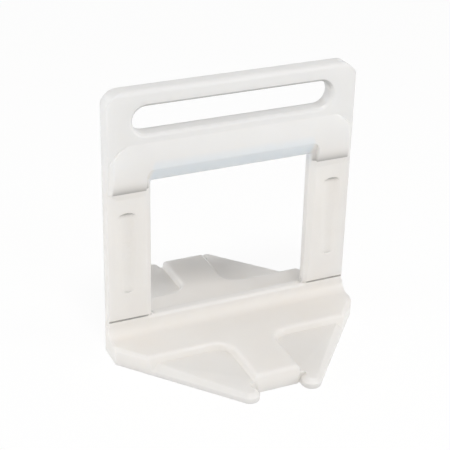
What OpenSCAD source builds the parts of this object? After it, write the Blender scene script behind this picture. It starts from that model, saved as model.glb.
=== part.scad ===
// Tile levelling clip, moulded in one piece from translucent polypropylene.
// A wedge is driven through the window of the upright frame. The base stays
// under the tiles, and the frame is knocked off at the notches above it.
// Millimetres, +Z up. The origin is on the floor, under the middle of the frame.
// The front is -Y, and +X is to the right.

/* [Frame] */
// Width across the head and the two legs
frame_width = 48; // [44:0.5:54]
// Width of the wedge window between the legs
window_width = 31; // [26:0.5:35]
// Height of the wedge window above its sill
window_height = 27.1; // [20:0.1:36]
// Thickness of the legs at the break line
leg_foot_thickness = 2.2; // [1.6:0.1:2.6]
// Thickness of the legs just under the crossbar pad
leg_top_thickness = 2.8; // [2:0.1:3]
// Depth of the bevels along the inner edges of the legs
leg_bevel = 0.4; // [0.2:0.05:0.6]
// Sideways run of those bevels for each millimetre of their depth
leg_bevel_run = 2; // [1:0.1:2.5]
// Radius of the crowned outer sides of the frame, seen from above
side_crown_radius = 3; // [2.5:0.5:8]

/* [Crossbar pad] */
// Thickness of the pad where the wedge presses
pad_thickness = 4.8; // [4.4:0.1:5.6]
// Radius of the pad's bulging front and rear faces
pad_face_radius = 16; // [14:1:30]
// Height of the crossbar, from the window to the hand slot
crossbar_height = 9.2; // [8:0.1:14]
// Height of the pad's thickest line above the window
pad_middle = 3.1; // [2.5:0.1:4]
// Height from the pad's thickest line to the full thickness of the head
pad_rise = 4.8; // [4.6:0.1:6]
// How far the pad's tongues end below the top of the window
tongue_drop = 1.2; // [0.6:0.1:2]
// Height of the lead-in slopes above the window
lead_in_height = 2.8; // [2:0.1:4]
// Flat left under the crossbar between its two lead-in slopes
underside_flat = 1.2; // [0.6:0.1:2]
// Distance from the window's sides to the inner sides of the tongues
tongue_side = 1.1; // [0.6:0.1:2]
// Radius of the upper corners between the lead-in slopes and the tongues
lead_in_corner_radius = 1.6; // [0.5:0.1:2]
// How far the pad stays inside the outer sides of the frame
pad_inset = 0.2; // [0.1:0.1:2]
// Radius of the pad's crowned ends, seen from above
pad_crown_radius = 2.9; // [2.9:0.1:6]
// Radius of the pad's upper corners, seen from the front
pad_corner_radius = 6; // [2:0.5:7]

/* [Head] */
// Height of the hand slot
slot_height = 5; // [4.5:0.1:7]
// Length of the hand slot, over its round ends
slot_length = 37.8; // [30:0.2:40]
// Bevel round the mouths of the hand slot
slot_bevel = 0.5; // [0.2:0.05:0.7]
// Height of the rim above the hand slot
rim_height = 3.1; // [2.5:0.1:5]
// Thickness of the head
head_thickness = 3.5; // [2.8:0.1:3.9]
// Radius that rounds the top edge over
head_edge_radius = 0.9; // [0.6:0.1:1.3]
// Radius of the two upper corners, seen from the front
head_corner_radius = 4; // [2:0.5:6]

/* [Break line and flutes] */
// Height of the break line above the floor
break_height = 6.45; // [5.8:0.05:9]
// Width of the groove that weakens the legs at the break line
notch_width = 0.4; // [0.2:0.05:0.6]
// Depth of that groove
notch_depth = 0.3; // [0.15:0.05:0.5]
// How far the sill of the window lies below the break line
sill_drop = 0.15; // [0:0.05:0.3]
// Radius of the corners between the legs and the sill
sill_corner_radius = 0.8; // [0.4:0.1:1.5]
// Width of the shallow flutes in the front of the legs
flute_width = 3.7; // [2.5:0.1:4]
// Length of the flutes
flute_length = 16; // [8:0.5:17]
// Height of the flutes' lower ends above the sill
flute_start = 5.8; // [4:0.1:8]
// Radius of the flutes' ends
flute_end_radius = 3; // [2:0.1:4]
// Depth of the flutes at their upper ends
flute_depth = 0.35; // [0.25:0.05:0.5]

/* [Base] */
// How far the base reaches past the legs on each side
base_overhang = 0.1; // [0.1:0.1:1]
// Height of the raised bar and tongue that carry the tiles
plateau_height = 3.5; // [3:0.1:4.2]
// Half the depth of the raised bar, front to back
bar_half_depth = 9.8; // [7:0.1:12]
// Half the width of the raised tongue
tongue_half_width = 4.1; // [3.5:0.1:5]
// Distance from the frame to the tips of the raised tongue
tongue_reach = 22.7; // [18:0.1:24]
// Half the width that is left at the tongue's tips
tongue_tip_half_width = 3.8; // [2:0.1:4.4]
// Slope of the walls of the bar and tongue, measured from the vertical
wall_slope = 20; // [5:1:25]
// Slope of the tongue's tips, measured from the vertical
tip_slope = 8; // [2:1:25]
// Radius that rounds the upper edges of the bar and tongue over
plateau_edge_radius = 0.8; // [0.3:0.1:1]
// Bevel along the slanted ends of the bar
bar_bevel = 0.6; // [0.3:0.1:1.2]
// Radius of the inner corners between the bar and the tongue
inner_corner_radius = 3.6; // [2:0.1:4.5]
// Radius of the hollow between the foot of the frame and the bar
foot_fillet_radius = 2; // [1:0.1:2.2]

/* [Lobes] */
// Height of the lower lobes beside the tongue
lobe_height = 2.1; // [1.6:0.1:2.5]
// Height of the upright edge round the base
edge_height = 0.95; // [0.6:0.05:1.4]
// Sideways distance from the middle to the centre of each toe
toe_offset = 6; // [5:0.1:8]
// Distance from the frame to the centre of each toe
toe_reach = 23.5; // [20:0.1:26]
// Radius of the round toes
toe_radius = 1.8; // [1.4:0.1:2.2]
// Radius of the base's outer corners
flank_corner_radius = 1.2; // [0.5:0.1:2]
// Distance from the frame to the centre of the front outer corners
front_flank = 4.6; // [3:0.1:6]
// Distance from the frame to the centre of the rear outer corners
rear_flank = 0.2; // [0.1:0.1:2]
// Distance behind the frame at which the rear edge joins the slanted edge
rear_trim = 9.4; // [7:0.1:12]
// Direction of the lobes' run-off, measured from the length of the frame
run_off_turn = 38; // [25:1:45]
// Fall of the lobes' run-off
run_off_fall = 6; // [2:1:10]
// Distance from the corner of the bar to the start of the run-off
run_off_inset = 1; // [0:0.1:3]

/* [Hidden] */
$fn = 64;
// Length by which a cutter passes the face that it cuts
past = 1;
// Depth by which joined shapes run into each other
bite = 0.5;
// Depth by which rounds stand out of the straight edges beside them, so that the two cross cleanly
proud = 0.02;
// Straight steps in which the upper edges of the bar and tongue are rounded over
edge_steps = 3;
plastic = [0.93, 0.93, 0.91];

// Heights above the floor
sill_z = break_height - sill_drop;
window_z = sill_z + window_height;
step_z = window_z - tongue_drop;
pad_middle_z = window_z + pad_middle;
head_z = pad_middle_z + pad_rise;
slot_z = window_z + crossbar_height;
slot_middle_z = slot_z + slot_height / 2;
top_z = slot_z + slot_height + rim_height;

// Half thicknesses, front to back
leg_foot_half = leg_foot_thickness / 2;
leg_top_half = leg_top_thickness / 2;
pad_half = pad_thickness / 2;
head_half = head_thickness / 2;
reach = pad_half + past;

// Places across the width
window_half = window_width / 2;
leg_width = (frame_width - window_width) / 2;
leg_middle = window_half + leg_width / 2;
face_middle = leg_middle + leg_bevel * leg_bevel_run / 2;
base_half = frame_width / 2 + base_overhang;
slot_end = slot_length / 2 - slot_height / 2;

// Round corners of the base on one side, as x, distance from the frame, radius
toe = [toe_offset, toe_reach, toe_radius];
front_corner = [base_half - flank_corner_radius, front_flank, flank_corner_radius];
rear_corner = [base_half - flank_corner_radius, rear_flank, flank_corner_radius];
rear_bend = between(front_corner, toe, rear_trim);
front_rounds = [front_corner, toe];
rear_rounds = [rear_corner, rear_bend, toe];

// How far the walls of the bar and tongue run out from their sharp upper edge to the floor
wall_run = plateau_height * tan(wall_slope);

// Half the thickness of the legs at a height between the break line and the pad
function leg_half(z) =
    leg_foot_half + (leg_top_half - leg_foot_half) * (z - break_height) / (step_z - break_height);

// The point on the line from a to b whose distance from the frame is y
function between(a, b, y) = a + (b - a) * (y - a[1]) / (b[1] - a[1]);

// Direction that faces outwards from the straight edge touching two rounds
function edge_turn(a, b) =
    let (run = [b[0] - a[0], b[1] - a[1]])
    atan2(run[1], run[0]) - acos((a[2] - b[2]) / norm(run));

// Ends of the straight edge that touches two rounds on their outer side
function outer_edge(a, b) =
    let (turn = edge_turn(a, b))
    [for (c = [a, b]) [c[0] + (c[2] - proud) * cos(turn), c[1] + (c[2] - proud) * sin(turn)]];

// Points of a rounded upper edge from its flat to its wall, as distance past the sharp edge and height
function edge_round(slope) =
    let (r = plateau_edge_radius)
    let (inset = r * (1 - sin(slope)) / cos(slope))
    [for (i = [0 : edge_steps])
        let (turn = 90 - (90 - slope) * i / edge_steps)
        [r * cos(turn) - inset, plateau_height - r + r * sin(turn)]];

// Extrudes an outline drawn in depth and height along the width
module along_x(length) {
    rotate([90, 0, 90]) linear_extrude(length, center = true) children();
}

// Extrudes an outline drawn in width and height along the depth
module along_y(length) {
    rotate([90, 0, 0]) linear_extrude(length, center = true) children();
}

// Repeats a shape on the right and on the left
module both_sides() {
    for (side = [0, 1]) mirror([side, 0, 0]) children();
}

// Repeats a shape on the front and on the rear
module both_faces() {
    for (face = [0, 1]) mirror([0, face, 0]) children();
}

// Upright rectangle from a bottom to a top height, with round upper corners
module round_topped(width, bottom, top, radius) {
    corner_x = width / 2 - radius;
    translate([-width / 2, bottom]) square([width, top - radius - bottom]);
    translate([-corner_x, bottom]) square([2 * corner_x, top - bottom]);
    for (side = [-1, 1]) translate([side * corner_x, top - radius]) circle(radius);
}

// Long section with round ends whose radius is larger than half its depth
module crowned_plan(width, radius) {
    crown_x = width / 2 - radius;
    square([2 * crown_x, 2 * radius], center = true);
    for (side = [-1, 1]) translate([side * crown_x, 0]) circle(radius);
}

// Thickness of the frame from the floor to the rounded top edge
module frame_section() {
    round_topped(head_thickness, head_z, top_z, head_edge_radius);
    polygon([
        [-leg_foot_half, 0],
        [leg_foot_half, 0],
        [leg_foot_half, break_height],
        [leg_top_half, step_z],
        [head_half, head_z],
        [-head_half, head_z],
        [-leg_top_half, step_z],
        [-leg_foot_half, break_height]
    ]);
}

// Thickness of the crossbar pad, bulging between two large arcs
module pad_section() {
    bulge = pad_face_radius - pad_half;
    intersection() {
        translate([-bulge, pad_middle_z]) circle(pad_face_radius);
        translate([bulge, pad_middle_z]) circle(pad_face_radius);
    }
}

// Legs, sill, crossbar and head without the pad
module frame_body() {
    intersection() {
        along_y(2 * reach) round_topped(frame_width, 0, top_z, head_corner_radius);
        along_x(frame_width + 2 * past) frame_section();
        linear_extrude(top_z + past) crowned_plan(frame_width, side_crown_radius);
    }
}

// Bulging pad on the crossbar, which reaches down over each leg as a tongue
module crossbar_pad() {
    pad_width = frame_width - 2 * pad_inset;
    intersection() {
        along_y(2 * reach) round_topped(pad_width, step_z, head_z, pad_corner_radius);
        along_x(frame_width) pad_section();
        linear_extrude(top_z) crowned_plan(pad_width, pad_crown_radius);
    }
}

// Cutter for the window: bevelled at the legs, sloped under the crossbar and at the sill
module window_cutter() {
    bevel_start = leg_foot_half - leg_bevel;
    flare = window_half + leg_bevel_run * (reach - bevel_start);
    outer = reach + bite;
    lead_in_slope = lead_in_height / (pad_half - underside_flat / 2);
    lead_in_z = window_z + lead_in_slope * (outer - underside_flat / 2);
    intersection() {
        linear_extrude(top_z) polygon([
            [-window_half, -bevel_start],
            [-flare, -reach],
            [flare, -reach],
            [window_half, -bevel_start],
            [window_half, bevel_start],
            [flare, reach],
            [-flare, reach],
            [-window_half, bevel_start]
        ]);
        along_x(2 * frame_width) polygon([
            [-bevel_start, sill_z],
            [-outer, sill_z - (outer - bevel_start)],
            [-outer, lead_in_z],
            [-underside_flat / 2, window_z],
            [underside_flat / 2, window_z],
            [outer, lead_in_z],
            [outer, sill_z - (outer - bevel_start)],
            [bevel_start, sill_z]
        ]);
    }
}

// Cutter for the part of the window that lies between the tongues of the pad
module pad_opening() {
    lead_in_top = window_z + lead_in_height + proud;
    intersection() {
        window_cutter();
        along_y(4 * reach) round_topped(window_width + 2 * tongue_side, 0, lead_in_top, lead_in_corner_radius);
    }
}

// Round corners that join the legs to the sill
module sill_corners() {
    both_sides() translate([window_half - sill_corner_radius, 0, sill_z])
        along_y(2 * (leg_foot_half - leg_bevel)) difference() {
            translate([0, -bite]) square([sill_corner_radius + bite, sill_corner_radius + bite]);
            translate([0, sill_corner_radius]) circle(sill_corner_radius);
        }
}

// Cutter for the hand slot, with bevelled mouths
module slot_cutter() {
    half_height = slot_height / 2;
    mouth = head_half - slot_bevel;
    depth = reach - mouth;
    translate([0, 0, slot_middle_z]) {
        along_y(2 * reach) square([2 * slot_end, slot_height], center = true);
        both_sides() translate([slot_end, 0, 0])
            rotate([90, 0, 0]) cylinder(h = 2 * reach, r = half_height, center = true);
        both_faces() {
            both_sides() translate([slot_end, -mouth, 0])
                rotate([90, 0, 0]) cylinder(h = depth, r1 = half_height, r2 = half_height + depth);
            along_x(2 * slot_end) polygon([
                [-mouth, -half_height],
                [-mouth, half_height],
                [-reach, half_height + depth],
                [-reach, -half_height - depth]
            ]);
        }
    }
}

// Grooves across both faces of the legs, where the frame breaks off
module break_notches() {
    mouth = notch_width / 2 * (notch_depth + past) / notch_depth;
    both_sides() both_faces() translate([leg_middle, 0, break_height]) along_x(leg_width + past) polygon([
        [leg_foot_half - notch_depth, 0],
        [leg_foot_half + past, -mouth],
        [leg_foot_half + past, mouth]
    ]);
}

// Shallow hollow flutes in the front of the legs; their upright floor makes them deepest at the top
module leg_flutes() {
    bottom_z = sill_z + flute_start;
    floor_y = flute_depth - leg_half(bottom_z + flute_length);
    hollow_radius = (pow(flute_width / 2, 2) + pow(flute_depth, 2)) / (2 * flute_depth);
    end_z = flute_length / 2 - flute_end_radius;
    both_sides() translate([face_middle, floor_y, bottom_z + flute_length / 2]) intersection() {
        translate([0, -hollow_radius, 0]) cylinder(h = flute_length + past, r = hollow_radius, center = true);
        along_y(2 * past) {
            square([2 * flute_end_radius, 2 * end_z], center = true);
            for (end = [-1, 1]) translate([0, end * end_z]) circle(flute_end_radius);
        }
    }
}

// Upright frame with its window, hand slot, notches and flutes
module frame() {
    difference() {
        union() {
            difference() {
                frame_body();
                window_cutter();
            }
            difference() {
                crossbar_pad();
                pad_opening();
            }
        }
        slot_cutter();
        break_notches();
        leg_flutes();
    }
    sill_corners();
}

// Foot of the frame, hollowed where it runs into the bar and flush with the sides of the base
module foot() {
    hollow = leg_foot_half + foot_fillet_radius;
    foot_z = plateau_height + foot_fillet_radius;
    intersection() {
        along_x(2 * base_half) difference() {
            translate([-hollow, 0]) square([2 * hollow, foot_z]);
            for (face = [-1, 1]) translate([face * hollow, foot_z]) circle(foot_fillet_radius);
        }
        linear_extrude(foot_z) base_plan(toe_offset, true);
    }
}

// One quarter of the base's plan between its round corners; inner is the inner side of the toe
module quarter_plan(rounds, inner) {
    edges = [for (i = [0 : len(rounds) - 2]) each outer_edge(rounds[i], rounds[i + 1])];
    tip = tongue_reach - bite;
    polygon(concat(
        [[-bite, -bite], [base_half, -bite], [base_half, rounds[0][1]]],
        edges,
        [[toe_offset, toe_reach], [inner, toe_reach], [inner, tip], [-bite, tip]]
    ));
}

// Plan of the base from its four quarters, with or without the round corners
module base_plan(inner, rounded) {
    for (side = [0, 1]) mirror([side, 0]) {
        quarter_plan(rear_rounds, inner);
        mirror([0, 1]) quarter_plan(front_rounds, inner);
        if (rounded) {
            for (r = rear_rounds) translate([r[0], r[1]]) circle(r[2]);
            for (r = front_rounds) translate([r[0], -r[1]]) circle(r[2]);
        }
    }
}

// Bevel cutter along the slanted edges of one quarter, above the height of their upright part
module quarter_bevel(rounds, upright) {
    size = 2 * frame_width;
    for (i = [0 : len(rounds) - 2]) {
        start = outer_edge(rounds[i], rounds[i + 1])[0];
        translate([start[0], start[1], upright]) rotate([0, -45, edge_turn(rounds[i], rounds[i + 1])])
            translate([0, -size / 2, -size / 2]) cube(size);
    }
}

// Bevel cutter round the whole base
module edge_bevel(upright) {
    both_sides() {
        quarter_bevel(rear_rounds, upright);
        mirror([0, 1, 0]) quarter_bevel(front_rounds, upright);
    }
}

// Round toes with bevelled tops
module toes() {
    bevel = lobe_height - edge_height;
    both_sides() both_faces() translate([toe_offset, toe_reach, 0]) {
        cylinder(h = edge_height + proud, r = toe_radius);
        translate([0, 0, edge_height + proud])
            cylinder(h = bevel - proud, r1 = toe_radius, r2 = toe_radius - bevel + proud);
    }
}

// Cutter that lets the tops of the lobes fall away towards the toes
module run_off() {
    edge = outer_edge(front_corner, toe);
    hinge = between(edge[0], edge[1], bar_half_depth);
    both_sides() both_faces() translate([hinge[0] - run_off_inset, hinge[1], lobe_height])
        rotate([0, 0, -run_off_turn]) rotate([-run_off_fall, 0, 0])
            translate([-frame_width, 0, 0]) cube([2 * frame_width, frame_width, plateau_height]);
}

// Low plate of the base with its lobes, bevelled edges and toes
module lobes() {
    toe_side = toe_offset - toe_radius;
    linear_extrude(edge_height / 2) base_plan(toe_side, true);
    difference() {
        union() {
            difference() {
                linear_extrude(lobe_height) base_plan(toe_side + lobe_height - edge_height, false);
                edge_bevel(edge_height);
            }
            toes();
        }
        run_off();
    }
}

// Half of a raised section: a flat, a rounded upper edge and a sloped wall
module raised_half(sharp_edge, slope) {
    polygon(concat(
        [[-bite, 0], [-bite, plateau_height]],
        [for (p = edge_round(slope)) [sharp_edge + p[0], p[1]]],
        [[sharp_edge + plateau_height * tan(slope), 0]]
    ));
}

// Whole raised section, from wall to wall
module raised_section(sharp_edge, slope) {
    for (side = [0, 1]) mirror([side, 0]) raised_half(sharp_edge, slope);
}

// Raised bar under the frame
module bar() {
    difference() {
        intersection() {
            linear_extrude(plateau_height) base_plan(toe_offset, true);
            along_x(2 * base_half + past) raised_section(bar_half_depth, wall_slope);
        }
        edge_bevel(plateau_height - bar_bevel);
    }
}

// Raised tongue that crosses the bar and ends between the toes
module base_tongue() {
    floor_half = tongue_half_width + wall_run;
    shoulder = tongue_reach - (floor_half - tongue_tip_half_width);
    tip_edge = tongue_reach - plateau_height * tan(tip_slope);
    intersection() {
        along_y(2 * tongue_reach) raised_section(tongue_half_width, wall_slope);
        along_x(2 * floor_half) raised_section(tip_edge, tip_slope);
        linear_extrude(plateau_height) for (face = [0, 1]) mirror([0, face]) polygon([
            [-floor_half, -bite],
            [floor_half, -bite],
            [floor_half, shoulder],
            [tongue_tip_half_width, tongue_reach],
            [-tongue_tip_half_width, tongue_reach],
            [-floor_half, shoulder]
        ]);
    }
}

// Round inner corners where the tongue leaves the bar, with the same rounded upper edge
module inner_corners() {
    edge = edge_round(wall_slope);
    overlap = bite - edge[0][0];
    middle = inner_corner_radius + overlap - proud;
    both_sides() both_faces() translate([tongue_half_width - overlap, bar_half_depth - overlap, 0])
        difference() {
            cube([middle, middle, plateau_height]);
            translate([middle, middle, 0]) rotate_extrude() polygon(concat(
                [[0, -past], [inner_corner_radius - (plateau_height + past) * tan(wall_slope), -past]],
                [for (i = [edge_steps : -1 : 0]) [inner_corner_radius - edge[i][0], edge[i][1]]],
                [[inner_corner_radius - edge[0][0], plateau_height + past], [0, plateau_height + past]]
            ));
        }
}

// The whole clip, one moulding
module levelling_clip() {
    color(plastic) union() {
        frame();
        foot();
        lobes();
        bar();
        base_tongue();
        inner_corners();
    }
}

levelling_clip();
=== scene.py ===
"""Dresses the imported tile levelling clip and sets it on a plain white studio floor."""

import math

import bpy
from mathutils import Matrix, Vector


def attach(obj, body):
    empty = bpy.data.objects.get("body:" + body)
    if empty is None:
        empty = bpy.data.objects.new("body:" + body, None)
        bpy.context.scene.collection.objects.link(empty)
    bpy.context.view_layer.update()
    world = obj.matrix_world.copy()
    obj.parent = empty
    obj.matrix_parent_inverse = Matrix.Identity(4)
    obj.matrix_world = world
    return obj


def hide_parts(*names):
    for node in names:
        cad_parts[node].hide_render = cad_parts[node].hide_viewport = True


bl_info = {
    "name": "Tile levelling clip",
    "version": (1, 0, 0),
    "blender": (4, 5, 0),
    "location": "View3D > Sidebar > Clip",
    "description": "Soft-edged moulding, polypropylene finish and studio for a tile levelling clip",
    "category": "Object",
}

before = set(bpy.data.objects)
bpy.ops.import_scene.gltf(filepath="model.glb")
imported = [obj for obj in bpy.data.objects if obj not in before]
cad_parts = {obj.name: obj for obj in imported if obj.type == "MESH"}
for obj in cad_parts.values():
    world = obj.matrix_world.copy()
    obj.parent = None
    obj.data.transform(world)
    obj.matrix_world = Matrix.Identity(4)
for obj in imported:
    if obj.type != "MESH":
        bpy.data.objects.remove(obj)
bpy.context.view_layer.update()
MM = 0.001
CLIP_NODE = "levelling_clip"

# Heights over the floor that the painted shade and cool tint follow: halfway from the break
# line to the flutes' upper ends, where the cooler tone starts and is full, the lower edge of
# the pad's ends, the crossbar's slope over the window, and the head's start under the hand slot
LEGS_MIDDLE = 18.05 * MM
COOL_FROM = 28 * MM
COOL_FULL = 38 * MM
STEP_HEIGHT = 32.2 * MM
BAND_HEIGHT = 34.5 * MM
HEAD_FROM = 41 * MM

# Reach of each effect, from its middle to where it starts to fade and to where it is gone
LEGS_REACH = (11.65 * MM, 11.85 * MM)
BAND_REACH_UP = (0, 5.5 * MM)
BAND_REACH_ASIDE = (15 * MM, 16.5 * MM)
PAD_END_REACH = (3.2 * MM, 3.7 * MM)

# Distance of a leg, and of the pad's end over it, from the middle of the clip
LEG_ASIDE = 19.4 * MM

# How far the painted shade at the pad's step reaches up, and how far it starts below the step
STEP_GREY = 3 * MM
STEP_MARGIN = 0.05 * MM

# Sizes of the patterns in the plastic, and the reach of the painted shade in creases
CLOUD_SIZE = 9 * MM
PATCH_SIZE = 4 * MM
SKIN_SIZE = 0.5 * MM
SKIN_DEPTH = 0.02 * MM
CREASE_REACH = 0.9 * MM

# Gap between loose triangles that the weld closes, in millimetres
WELD_GAP = 0.001

# Studio, in metres and watts: half the floor's side, its drop under the clip and its glow,
# the light of the room, and the lamps with the point that they all face
FLOOR_HALF = 2.0
FLOOR_DROP = 0.05 * MM
FLOOR_GLOW = 1.02
ROOM_LIGHT = 0.34
LAMP_TARGET = (0, 0, 20 * MM)
# Name, place, side of the square, watts, colour, and whether gloss shows it
LAMPS = (
    ("key_softbox", (-0.05, -0.26, 0.58), 0.12, 1.3, (1.0, 0.985, 0.96), True),
    ("right_softbox", (0.45, -0.40, 0.25), 0.30, 1.15, (1.0, 0.99, 0.98), True),
    ("left_softbox", (-0.60, 0.05, 0.08), 0.25, 1.7, (1.0, 1.0, 1.0), False),
    ("front_softbox", (0.05, -0.60, 0.17), 0.20, 0.4, (1.0, 1.0, 1.0), False),
    ("back_softbox", (-0.26, 0.49, 0.24), 0.04, 0.1, (1.0, 1.0, 1.0), True),
)

# Camera: width of its sensor in millimetres, and the nearest distance that it shows
SENSOR_WIDTH = 36
NEAREST_VIEW = 10 * MM


def linear(hex_colour):
    """Turns an sRGB hex colour into linear red, green and blue."""
    parts = [int(hex_colour[i:i + 2], 16) / 255 for i in (1, 3, 5)]
    return [c / 12.92 if c <= 0.04045 else ((c + 0.055) / 1.055) ** 2.4 for c in parts]


def add(tree, kind, links=None, **settings):
    """Adds a node; links maps an input's name or number to a value or to an output socket."""
    node = tree.nodes.new(kind)
    for name, value in settings.items():
        setattr(node, name, value)
    for key, value in (links or {}).items():
        if isinstance(value, bpy.types.NodeSocket):
            tree.links.new(value, node.inputs[key])
        else:
            node.inputs[key].default_value = value
    return node


def new_material(name):
    """Makes an empty node material and returns it with its tree and its output node."""
    material = bpy.data.materials.new(name)
    material.use_nodes = True
    material.node_tree.nodes.clear()
    return material, material.node_tree, add(material.node_tree, "ShaderNodeOutputMaterial")


def fade(tree, value, start, end):
    """Falls smoothly from 1 to 0 while a value's size grows from start to end."""
    size = add(tree, "ShaderNodeMath", {0: value}, operation="ABSOLUTE")
    return add(tree, "ShaderNodeMapRange", {
        "Value": size.outputs[0],
        "From Min": start, "From Max": end, "To Min": 1.0, "To Max": 0.0},
        interpolation_type="SMOOTHSTEP").outputs["Result"]


# Settings

class ClipMouldingSettings(bpy.types.PropertyGroup):
    """Sizes and colours of the moulded clip"""

    grain: bpy.props.FloatProperty(
        name="Grain", description="Size of the small faces that the moulding is rebuilt from",
        default=0.08 * MM, min=0.05 * MM, unit="LENGTH", precision=5)
    rounding: bpy.props.IntProperty(
        name="Edge rounding", description="Passes that round the moulded edges over",
        default=4, min=0, max=60)
    triangles: bpy.props.IntProperty(
        name="Triangles", description="Triangles kept in the finished moulding",
        default=150000, min=20000, max=190000)
    milk: bpy.props.FloatVectorProperty(
        name="Milky white", description="Colour of the plastic where it is dense",
        default=linear("#F6F3EF"), size=3, subtype="COLOR", min=0, max=1)
    clear: bpy.props.FloatVectorProperty(
        name="Clear white", description="Colour of the plastic where it is clearer",
        default=linear("#F1ECE7"), size=3, subtype="COLOR", min=0, max=1)
    # Painted cool reflection on the crossbar's downward slope; also a cooler tone higher up
    cool_tint: bpy.props.FloatVectorProperty(
        name="Thick white", description="Cooler colour of the thick plastic at the crossbar",
        default=linear("#E6EEF5"), size=3, subtype="COLOR", min=0, max=1)
    # Painted shade: the grey mixed in at creases, at the pad's step and under the head's edges
    painted_shade_grey: bpy.props.FloatVectorProperty(
        name="Crease grey", description="Colour of the plastic deep in its creases",
        default=linear("#3E3D3B"), size=3, subtype="COLOR", min=0, max=1)


class ClipStageSettings(bpy.types.PropertyGroup):
    """Camera and floor round the clip"""

    target: bpy.props.FloatVectorProperty(
        name="Target", description="Point that the camera looks at",
        default=(-0.80 * MM, 0.0, 21.60 * MM), size=3, subtype="XYZ", unit="LENGTH")
    distance: bpy.props.FloatProperty(
        name="Distance", description="Distance from the camera to the target",
        default=230.65 * MM, unit="LENGTH")
    azimuth: bpy.props.FloatProperty(
        name="Azimuth", description="Turn of the camera round the clip",
        default=math.radians(-24.357), unit="ROTATION")
    elevation: bpy.props.FloatProperty(
        name="Elevation", description="Height of the camera above the floor, as an angle",
        default=math.radians(27.273), unit="ROTATION")
    roll: bpy.props.FloatProperty(
        name="Roll", description="Turn of the camera about its own view",
        default=math.radians(1.291), unit="ROTATION")
    lens: bpy.props.FloatProperty(
        name="Lens", description="Focal length in millimetres on a 36 mm sensor",
        default=101.09)
    floor: bpy.props.FloatVectorProperty(
        name="Floor", description="Colour of the studio floor",
        default=linear("#F4F4F3"), size=3, subtype="COLOR", min=0, max=1)


# Materials

def cool_reflection_and_top(tree, across, height):
    """Painted cool reflection on the crossbar's downward slope, and a cooler tone up the head."""
    over = add(tree, "ShaderNodeMath", {0: height, 1: BAND_HEIGHT}, operation="SUBTRACT")
    cool_reflection = add(tree, "ShaderNodeMath", {
        0: fade(tree, over.outputs[0], *BAND_REACH_UP),
        1: fade(tree, across, *BAND_REACH_ASIDE)}, operation="MULTIPLY")
    upper = add(tree, "ShaderNodeMapRange", {
        "Value": height, "From Min": COOL_FROM, "From Max": COOL_FULL,
        "To Min": 0.0, "To Max": 0.3})
    return add(tree, "ShaderNodeMath", {
        0: cool_reflection.outputs[0], 1: upper.outputs["Result"]}, operation="MAXIMUM").outputs[0]


def painted_crease_shade(tree, height):
    """Painted shade in the legs' creases: break notches and flute ends read as thin grey lines."""
    hollow = add(tree, "ShaderNodeAmbientOcclusion", {
        "Distance": CREASE_REACH}, samples=8, only_local=True)
    depth = add(tree, "ShaderNodeMapRange", {
        "Value": hollow.outputs["AO"],
        "From Min": 0.76, "From Max": 0.95, "To Min": 1.0, "To Max": 0.0})
    up_leg = add(tree, "ShaderNodeMath", {0: height, 1: LEGS_MIDDLE}, operation="SUBTRACT")
    return add(tree, "ShaderNodeMath", {
        0: depth.outputs["Result"],
        1: fade(tree, up_leg.outputs[0], *LEGS_REACH)}, operation="MULTIPLY").outputs[0]


def painted_step_shade(tree, across, height):
    """Painted shade on the pad's ends: they grow greyer towards the step at their lower edge."""
    near_step = add(tree, "ShaderNodeMapRange", {
        "Value": height, "From Min": STEP_HEIGHT, "From Max": STEP_HEIGHT + STEP_GREY,
        "To Min": 0.8, "To Max": 0.0})
    greyer = add(tree, "ShaderNodeMath", {
        0: near_step.outputs["Result"], 1: 3.0}, operation="POWER")
    over_step = add(tree, "ShaderNodeMath", {
        0: height, 1: STEP_HEIGHT - STEP_MARGIN}, operation="GREATER_THAN")
    aside = add(tree, "ShaderNodeMath", {0: across}, operation="ABSOLUTE")
    off_end = add(tree, "ShaderNodeMath", {
        0: aside.outputs[0], 1: LEG_ASIDE}, operation="SUBTRACT")
    on_end = add(tree, "ShaderNodeMath", {
        0: over_step.outputs[0],
        1: fade(tree, off_end.outputs[0], *PAD_END_REACH)}, operation="MULTIPLY")
    return add(tree, "ShaderNodeMath", {
        0: greyer.outputs[0], 1: on_end.outputs[0]}, operation="MULTIPLY").outputs[0]


def painted_underside_shade(tree, height):
    """Painted shade on the head's downward-facing edges: fine grey lines there too."""
    normal = add(tree, "ShaderNodeNewGeometry").outputs["Normal"]
    facing = add(tree, "ShaderNodeSeparateXYZ", {"Vector": normal})
    down = add(tree, "ShaderNodeMapRange", {
        "Value": facing.outputs["Z"],
        "From Min": -0.9, "From Max": -0.2, "To Min": 0.7, "To Max": 0.0})
    in_head = add(tree, "ShaderNodeMath", {0: height, 1: HEAD_FROM}, operation="GREATER_THAN")
    return add(tree, "ShaderNodeMath", {
        0: down.outputs["Result"], 1: in_head.outputs[0]}, operation="MULTIPLY").outputs[0]


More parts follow.
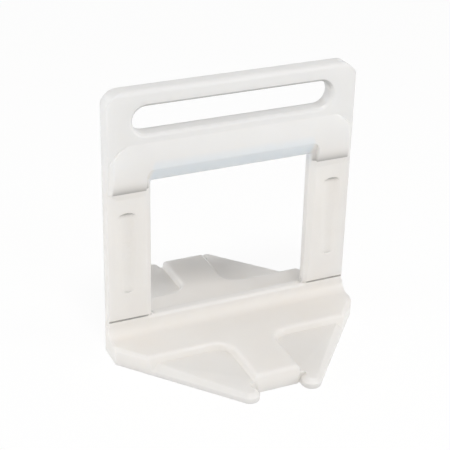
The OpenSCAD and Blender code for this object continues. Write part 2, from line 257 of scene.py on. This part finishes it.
def polypropylene(settings):
    """Natural polypropylene, injection moulded: milky, a little see-through, softly glossy."""
    material, tree, output = new_material("natural_polypropylene")
    place = add(tree, "ShaderNodeTexCoord").outputs["Object"]
    across, _, height = add(tree, "ShaderNodeSeparateXYZ", {"Vector": place}).outputs
    # Clouds: the melt is a little denser in some places
    clouds = add(tree, "ShaderNodeTexNoise", {
        "Vector": place, "Scale": 1 / CLOUD_SIZE, "Detail": 2.0})
    tint = add(tree, "ShaderNodeMix", {
        "Factor": clouds.outputs["Fac"], "A": (*settings.milk, 1), "B": (*settings.clear, 1)},
        data_type="RGBA")
    # Painted cool reflection on the crossbar's slope, and a cooler tone higher up
    cool = add(tree, "ShaderNodeMix", {
        "Factor": cool_reflection_and_top(tree, across, height),
        "A": tint.outputs["Result"], "B": (*settings.cool_tint, 1)}, data_type="RGBA")
    # Painted shade: grey lines in creases, at the pad's step and on the head's downward edges
    lines = add(tree, "ShaderNodeMath", {
        0: painted_crease_shade(tree, height), 1: painted_step_shade(tree, across, height)}, operation="MAXIMUM")
    painted_shade = add(tree, "ShaderNodeMath", {
        0: lines.outputs[0], 1: painted_underside_shade(tree, height)}, operation="MAXIMUM")
    shade = add(tree, "ShaderNodeMix", {
        "Factor": painted_shade.outputs[0], "A": cool.outputs["Result"], "B": (*settings.painted_shade_grey, 1)},
        data_type="RGBA")
    # Satin patches, where the mould is polished unevenly
    patches = add(tree, "ShaderNodeTexNoise", {
        "Vector": place, "Scale": 1 / PATCH_SIZE, "Detail": 3.0})
    gloss = add(tree, "ShaderNodeMapRange", {
        "Value": patches.outputs["Fac"], "To Min": 0.40, "To Max": 0.55})
    # Spark-eroded mould skin, drawn coarser than it is so that it shows
    skin = add(tree, "ShaderNodeTexNoise", {
        "Vector": place, "Scale": 1 / SKIN_SIZE, "Detail": 2.0})
    relief = add(tree, "ShaderNodeBump", {
        "Strength": 0.08, "Distance": SKIN_DEPTH, "Height": skin.outputs["Fac"]})
    shader = add(tree, "ShaderNodeBsdfPrincipled", {
        "Base Color": shade.outputs["Result"],
        "Roughness": gloss.outputs["Result"],
        "IOR": 1.49,
        "Subsurface Weight": 0.8,
        "Subsurface Radius": (1.0, 0.97, 0.92),
        "Subsurface Scale": 4.0 * MM,
        "Transmission Weight": 0.12,
        "Sheen Weight": 0.3,
        "Sheen Roughness": 0.3,
        "Coat Weight": 0.4,
        "Coat Roughness": 0.15,
        "Normal": relief.outputs["Normal"]})
    tree.links.new(shader.outputs["BSDF"], output.inputs["Surface"])
    return material


def plain_sight(tree):
    """Gives 1 to camera, transmission and glossy rays, and 0 to rays that carry light."""
    rays = add(tree, "ShaderNodeLightPath").outputs
    direct = add(tree, "ShaderNodeMath", {
        0: rays["Is Camera Ray"], 1: rays["Is Transmission Ray"]}, operation="MAXIMUM")
    return add(tree, "ShaderNodeMath", {
        0: direct.outputs[0], 1: rays["Is Glossy Ray"]}, operation="MAXIMUM").outputs[0]


def studio_white(settings):
    """White studio sheet: plain to the camera, while it still takes the clip's shadow."""
    material, tree, output = new_material("studio_sheet")
    paper = add(tree, "ShaderNodeBsdfDiffuse", {"Color": (*settings.floor, 1)})
    glow = add(tree, "ShaderNodeEmission", {"Color": (1, 1, 1, 1), "Strength": FLOOR_GLOW})
    share = add(tree, "ShaderNodeMapRange", {
        "Value": plain_sight(tree), "To Min": 0.2, "To Max": 0.9})
    mixed = add(tree, "ShaderNodeMixShader", {
        0: share.outputs["Result"], 1: paper.outputs[0], 2: glow.outputs[0]})
    tree.links.new(mixed.outputs[0], output.inputs["Surface"])
    return material


# Pieces

def soften_tree(material):
    """Geometry nodes that round every outer edge by the same rule and give the mesh its finish."""
    tree = bpy.data.node_groups.new("soften_moulded_edges", "GeometryNodeTree")
    tree.interface.new_socket("Mesh", in_out="INPUT", socket_type="NodeSocketGeometry")
    passes = tree.interface.new_socket("Passes", in_out="INPUT", socket_type="NodeSocketInt")
    tree.interface.new_socket("Mesh", in_out="OUTPUT", socket_type="NodeSocketGeometry")
    source = add(tree, "NodeGroupInput").outputs
    place = add(tree, "GeometryNodeInputPosition").outputs[0]
    facing = add(tree, "GeometryNodeInputNormal").outputs[0]
    # One pass everywhere evens the grain out
    even = add(tree, "GeometryNodeBlurAttribute", {
        "Value": place, "Iterations": 1}, data_type="FLOAT_VECTOR")
    evened = add(tree, "GeometryNodeSetPosition", {
        "Geometry": source["Mesh"], "Position": even.outputs["Value"]})
    # The other passes act only where they move the skin inwards, so creases stay sharp
    blurred = add(tree, "GeometryNodeBlurAttribute", {
        "Value": place, "Iterations": source["Passes"]}, data_type="FLOAT_VECTOR")
    shift = add(tree, "ShaderNodeVectorMath", {
        0: blurred.outputs["Value"], 1: place}, operation="SUBTRACT")
    outward = add(tree, "ShaderNodeVectorMath", {
        0: shift.outputs["Vector"], 1: facing}, operation="DOT_PRODUCT")
    inwards = add(tree, "FunctionNodeCompare", {
        "A": outward.outputs["Value"], "B": 0.0}, data_type="FLOAT", operation="LESS_THAN")
    moved = add(tree, "GeometryNodeSetPosition", {
        "Geometry": evened.outputs["Geometry"], "Selection": inwards.outputs["Result"],
        "Position": blurred.outputs["Value"]})
    smooth = add(tree, "GeometryNodeSetShadeSmooth", {"Geometry": moved.outputs["Geometry"]})
    whole = add(tree, "GeometryNodeRealizeInstances", {"Geometry": smooth.outputs["Geometry"]})
    dressed = add(tree, "GeometryNodeSetMaterial", {
        "Geometry": whole.outputs["Geometry"], "Material": material})
    add(tree, "NodeGroupOutput", {"Mesh": dressed.outputs["Geometry"]})
    return tree, passes.identifier


def plain_mesh(holder, name):
    """Turns the evaluated object into a plain mesh in an object of its own at the origin."""
    graph = bpy.context.evaluated_depsgraph_get()
    mesh = bpy.data.meshes.new_from_object(holder.evaluated_get(graph), depsgraph=graph)
    mesh.name = name
    bpy.data.objects.remove(holder)
    piece = bpy.data.objects.new(name, mesh)
    bpy.context.scene.collection.objects.link(piece)
    return piece


class CLIP_OT_moulding(bpy.types.Operator):
    """Rebuilds the clip with soft moulded edges and gives it its plastic"""

    bl_idname = "clip.moulding"
    bl_label = "Moulded clip"

    def execute(self, context):
        settings = context.scene.clip_moulding
        material = polypropylene(settings)
        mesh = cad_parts[CLIP_NODE].data.copy()
        # Work in millimetres, because the tools that follow are coarse in metres
        mesh.transform(Matrix.Scale(1 / MM, 4))
        holder = bpy.data.objects.new("moulding_blank", mesh)
        context.scene.collection.objects.link(holder)
        weld = holder.modifiers.new("weld", "WELD")
        weld.merge_threshold = WELD_GAP
        grain = holder.modifiers.new("grain", "REMESH")
        grain.mode = "VOXEL"
        grain.voxel_size = settings.grain / MM
        soften = holder.modifiers.new("soften", "NODES")
        soften.node_group, passes = soften_tree(material)
        soften[passes] = settings.rounding
        holder = plain_mesh(holder, "moulding_soft")
        # The grain is made of quads, two triangles each
        count = len(holder.data.polygons) * 2
        thin = holder.modifiers.new("thin", "DECIMATE")
        thin.ratio = min(1.0, settings.triangles / count)
        piece = plain_mesh(holder, "moulded_clip")
        piece.data.transform(Matrix.Scale(MM, 4))
        piece.data.shade_smooth()
        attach(piece, "root")
        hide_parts(CLIP_NODE)
        return {"FINISHED"}


def aim(position, target):
    """Matrix that puts a lamp at a position and points it at a target."""
    turn = (Vector(target) - Vector(position)).to_track_quat("-Z", "Y")
    return Matrix.Translation(position) @ turn.to_matrix().to_4x4()


def softbox(name, position, size, watts, colour, mirrored):
    """Adds a square area lamp; a lamp that isn't mirrored leaves no glare on glossy skin."""
    lamp = bpy.data.lights.new(name, "AREA")
    lamp.size = size
    lamp.energy = watts
    lamp.color = colour
    holder = bpy.data.objects.new(name, lamp)
    holder.matrix_world = aim(position, LAMP_TARGET)
    holder.visible_glossy = mirrored
    bpy.context.scene.collection.objects.link(holder)


class CLIP_OT_stage(bpy.types.Operator):
    """Sets the floor, the studio light and the camera"""

    bl_idname = "clip.stage"
    bl_label = "Studio"

    def execute(self, context):
        settings = context.scene.clip_stage
        scene = context.scene
        self.set_floor(scene, settings)
        self.set_light(scene)
        self.set_camera(scene, settings)
        scene.view_settings.view_transform = "Standard"
        return {"FINISHED"}

    def set_floor(self, scene, settings):
        sides = ((-1, -1), (1, -1), (1, 1), (-1, 1))
        corners = [(x * FLOOR_HALF, y * FLOOR_HALF, -FLOOR_DROP) for x, y in sides]
        mesh = bpy.data.meshes.new("studio_floor")
        mesh.from_pydata(corners, [], [(0, 1, 2, 3)])
        mesh.materials.append(studio_white(settings))
        floor = bpy.data.objects.new("studio_floor", mesh)
        scene.collection.objects.link(floor)

    def set_light(self, scene):
        world = bpy.data.worlds.new("studio_room")
        scene.world = world
        world.use_nodes = True
        tree = world.node_tree
        tree.nodes.clear()
        level = add(tree, "ShaderNodeMapRange", {
            "Value": plain_sight(tree), "To Min": ROOM_LIGHT, "To Max": 1.0})
        sky = add(tree, "ShaderNodeBackground", {
            "Color": (1, 1, 1, 1), "Strength": level.outputs["Result"]})
        add(tree, "ShaderNodeOutputWorld", {"Surface": sky.outputs[0]})
        for lamp in LAMPS:
            softbox(*lamp)

    def set_camera(self, scene, settings):
        a, e, r = settings.azimuth, settings.elevation, settings.roll
        back = Vector((math.sin(a) * math.cos(e), -math.cos(a) * math.cos(e), math.sin(e)))
        level = Vector((math.cos(a), math.sin(a), 0))
        upright = back.cross(level)
        right = level * math.cos(r) + upright * math.sin(r)
        up = upright * math.cos(r) - level * math.sin(r)
        data = bpy.data.cameras.new("photo_camera")
        data.sensor_width = SENSOR_WIDTH
        data.lens = settings.lens
        data.clip_start = NEAREST_VIEW
        camera = bpy.data.objects.new("photo_camera", data)
        turn = Matrix((right, up, back)).transposed().to_4x4()
        place = Vector(settings.target) + back * settings.distance
        camera.matrix_world = Matrix.Translation(place) @ turn
        scene.collection.objects.link(camera)
        scene.camera = camera


class CLIP_PT_panel(bpy.types.Panel):
    """Lists the clip's settings and the operators that build it"""

    bl_idname = "CLIP_PT_panel"
    bl_label = "Tile levelling clip"
    bl_space_type = "VIEW_3D"
    bl_region_type = "UI"
    bl_category = "Clip"

    def draw(self, context):
        groups = (("clip_moulding", CLIP_OT_moulding), ("clip_stage", CLIP_OT_stage))
        for group, operator in groups:
            settings = getattr(context.scene, group)
            box = self.layout.box()
            box.operator(operator.bl_idname)
            for name in settings.__annotations__:
                box.prop(settings, name)


CLASSES = (ClipMouldingSettings, ClipStageSettings, CLIP_OT_moulding, CLIP_OT_stage, CLIP_PT_panel)


def register():
    for cls in CLASSES:
        bpy.utils.register_class(cls)
    bpy.types.Scene.clip_moulding = bpy.props.PointerProperty(type=ClipMouldingSettings)
    bpy.types.Scene.clip_stage = bpy.props.PointerProperty(type=ClipStageSettings)


def unregister():
    del bpy.types.Scene.clip_stage
    del bpy.types.Scene.clip_moulding
    for cls in reversed(CLASSES):
        bpy.utils.unregister_class(cls)


def main():
    register()
    bpy.ops.clip.moulding()
    bpy.ops.clip.stage()


if __name__ == "__main__":
    main()
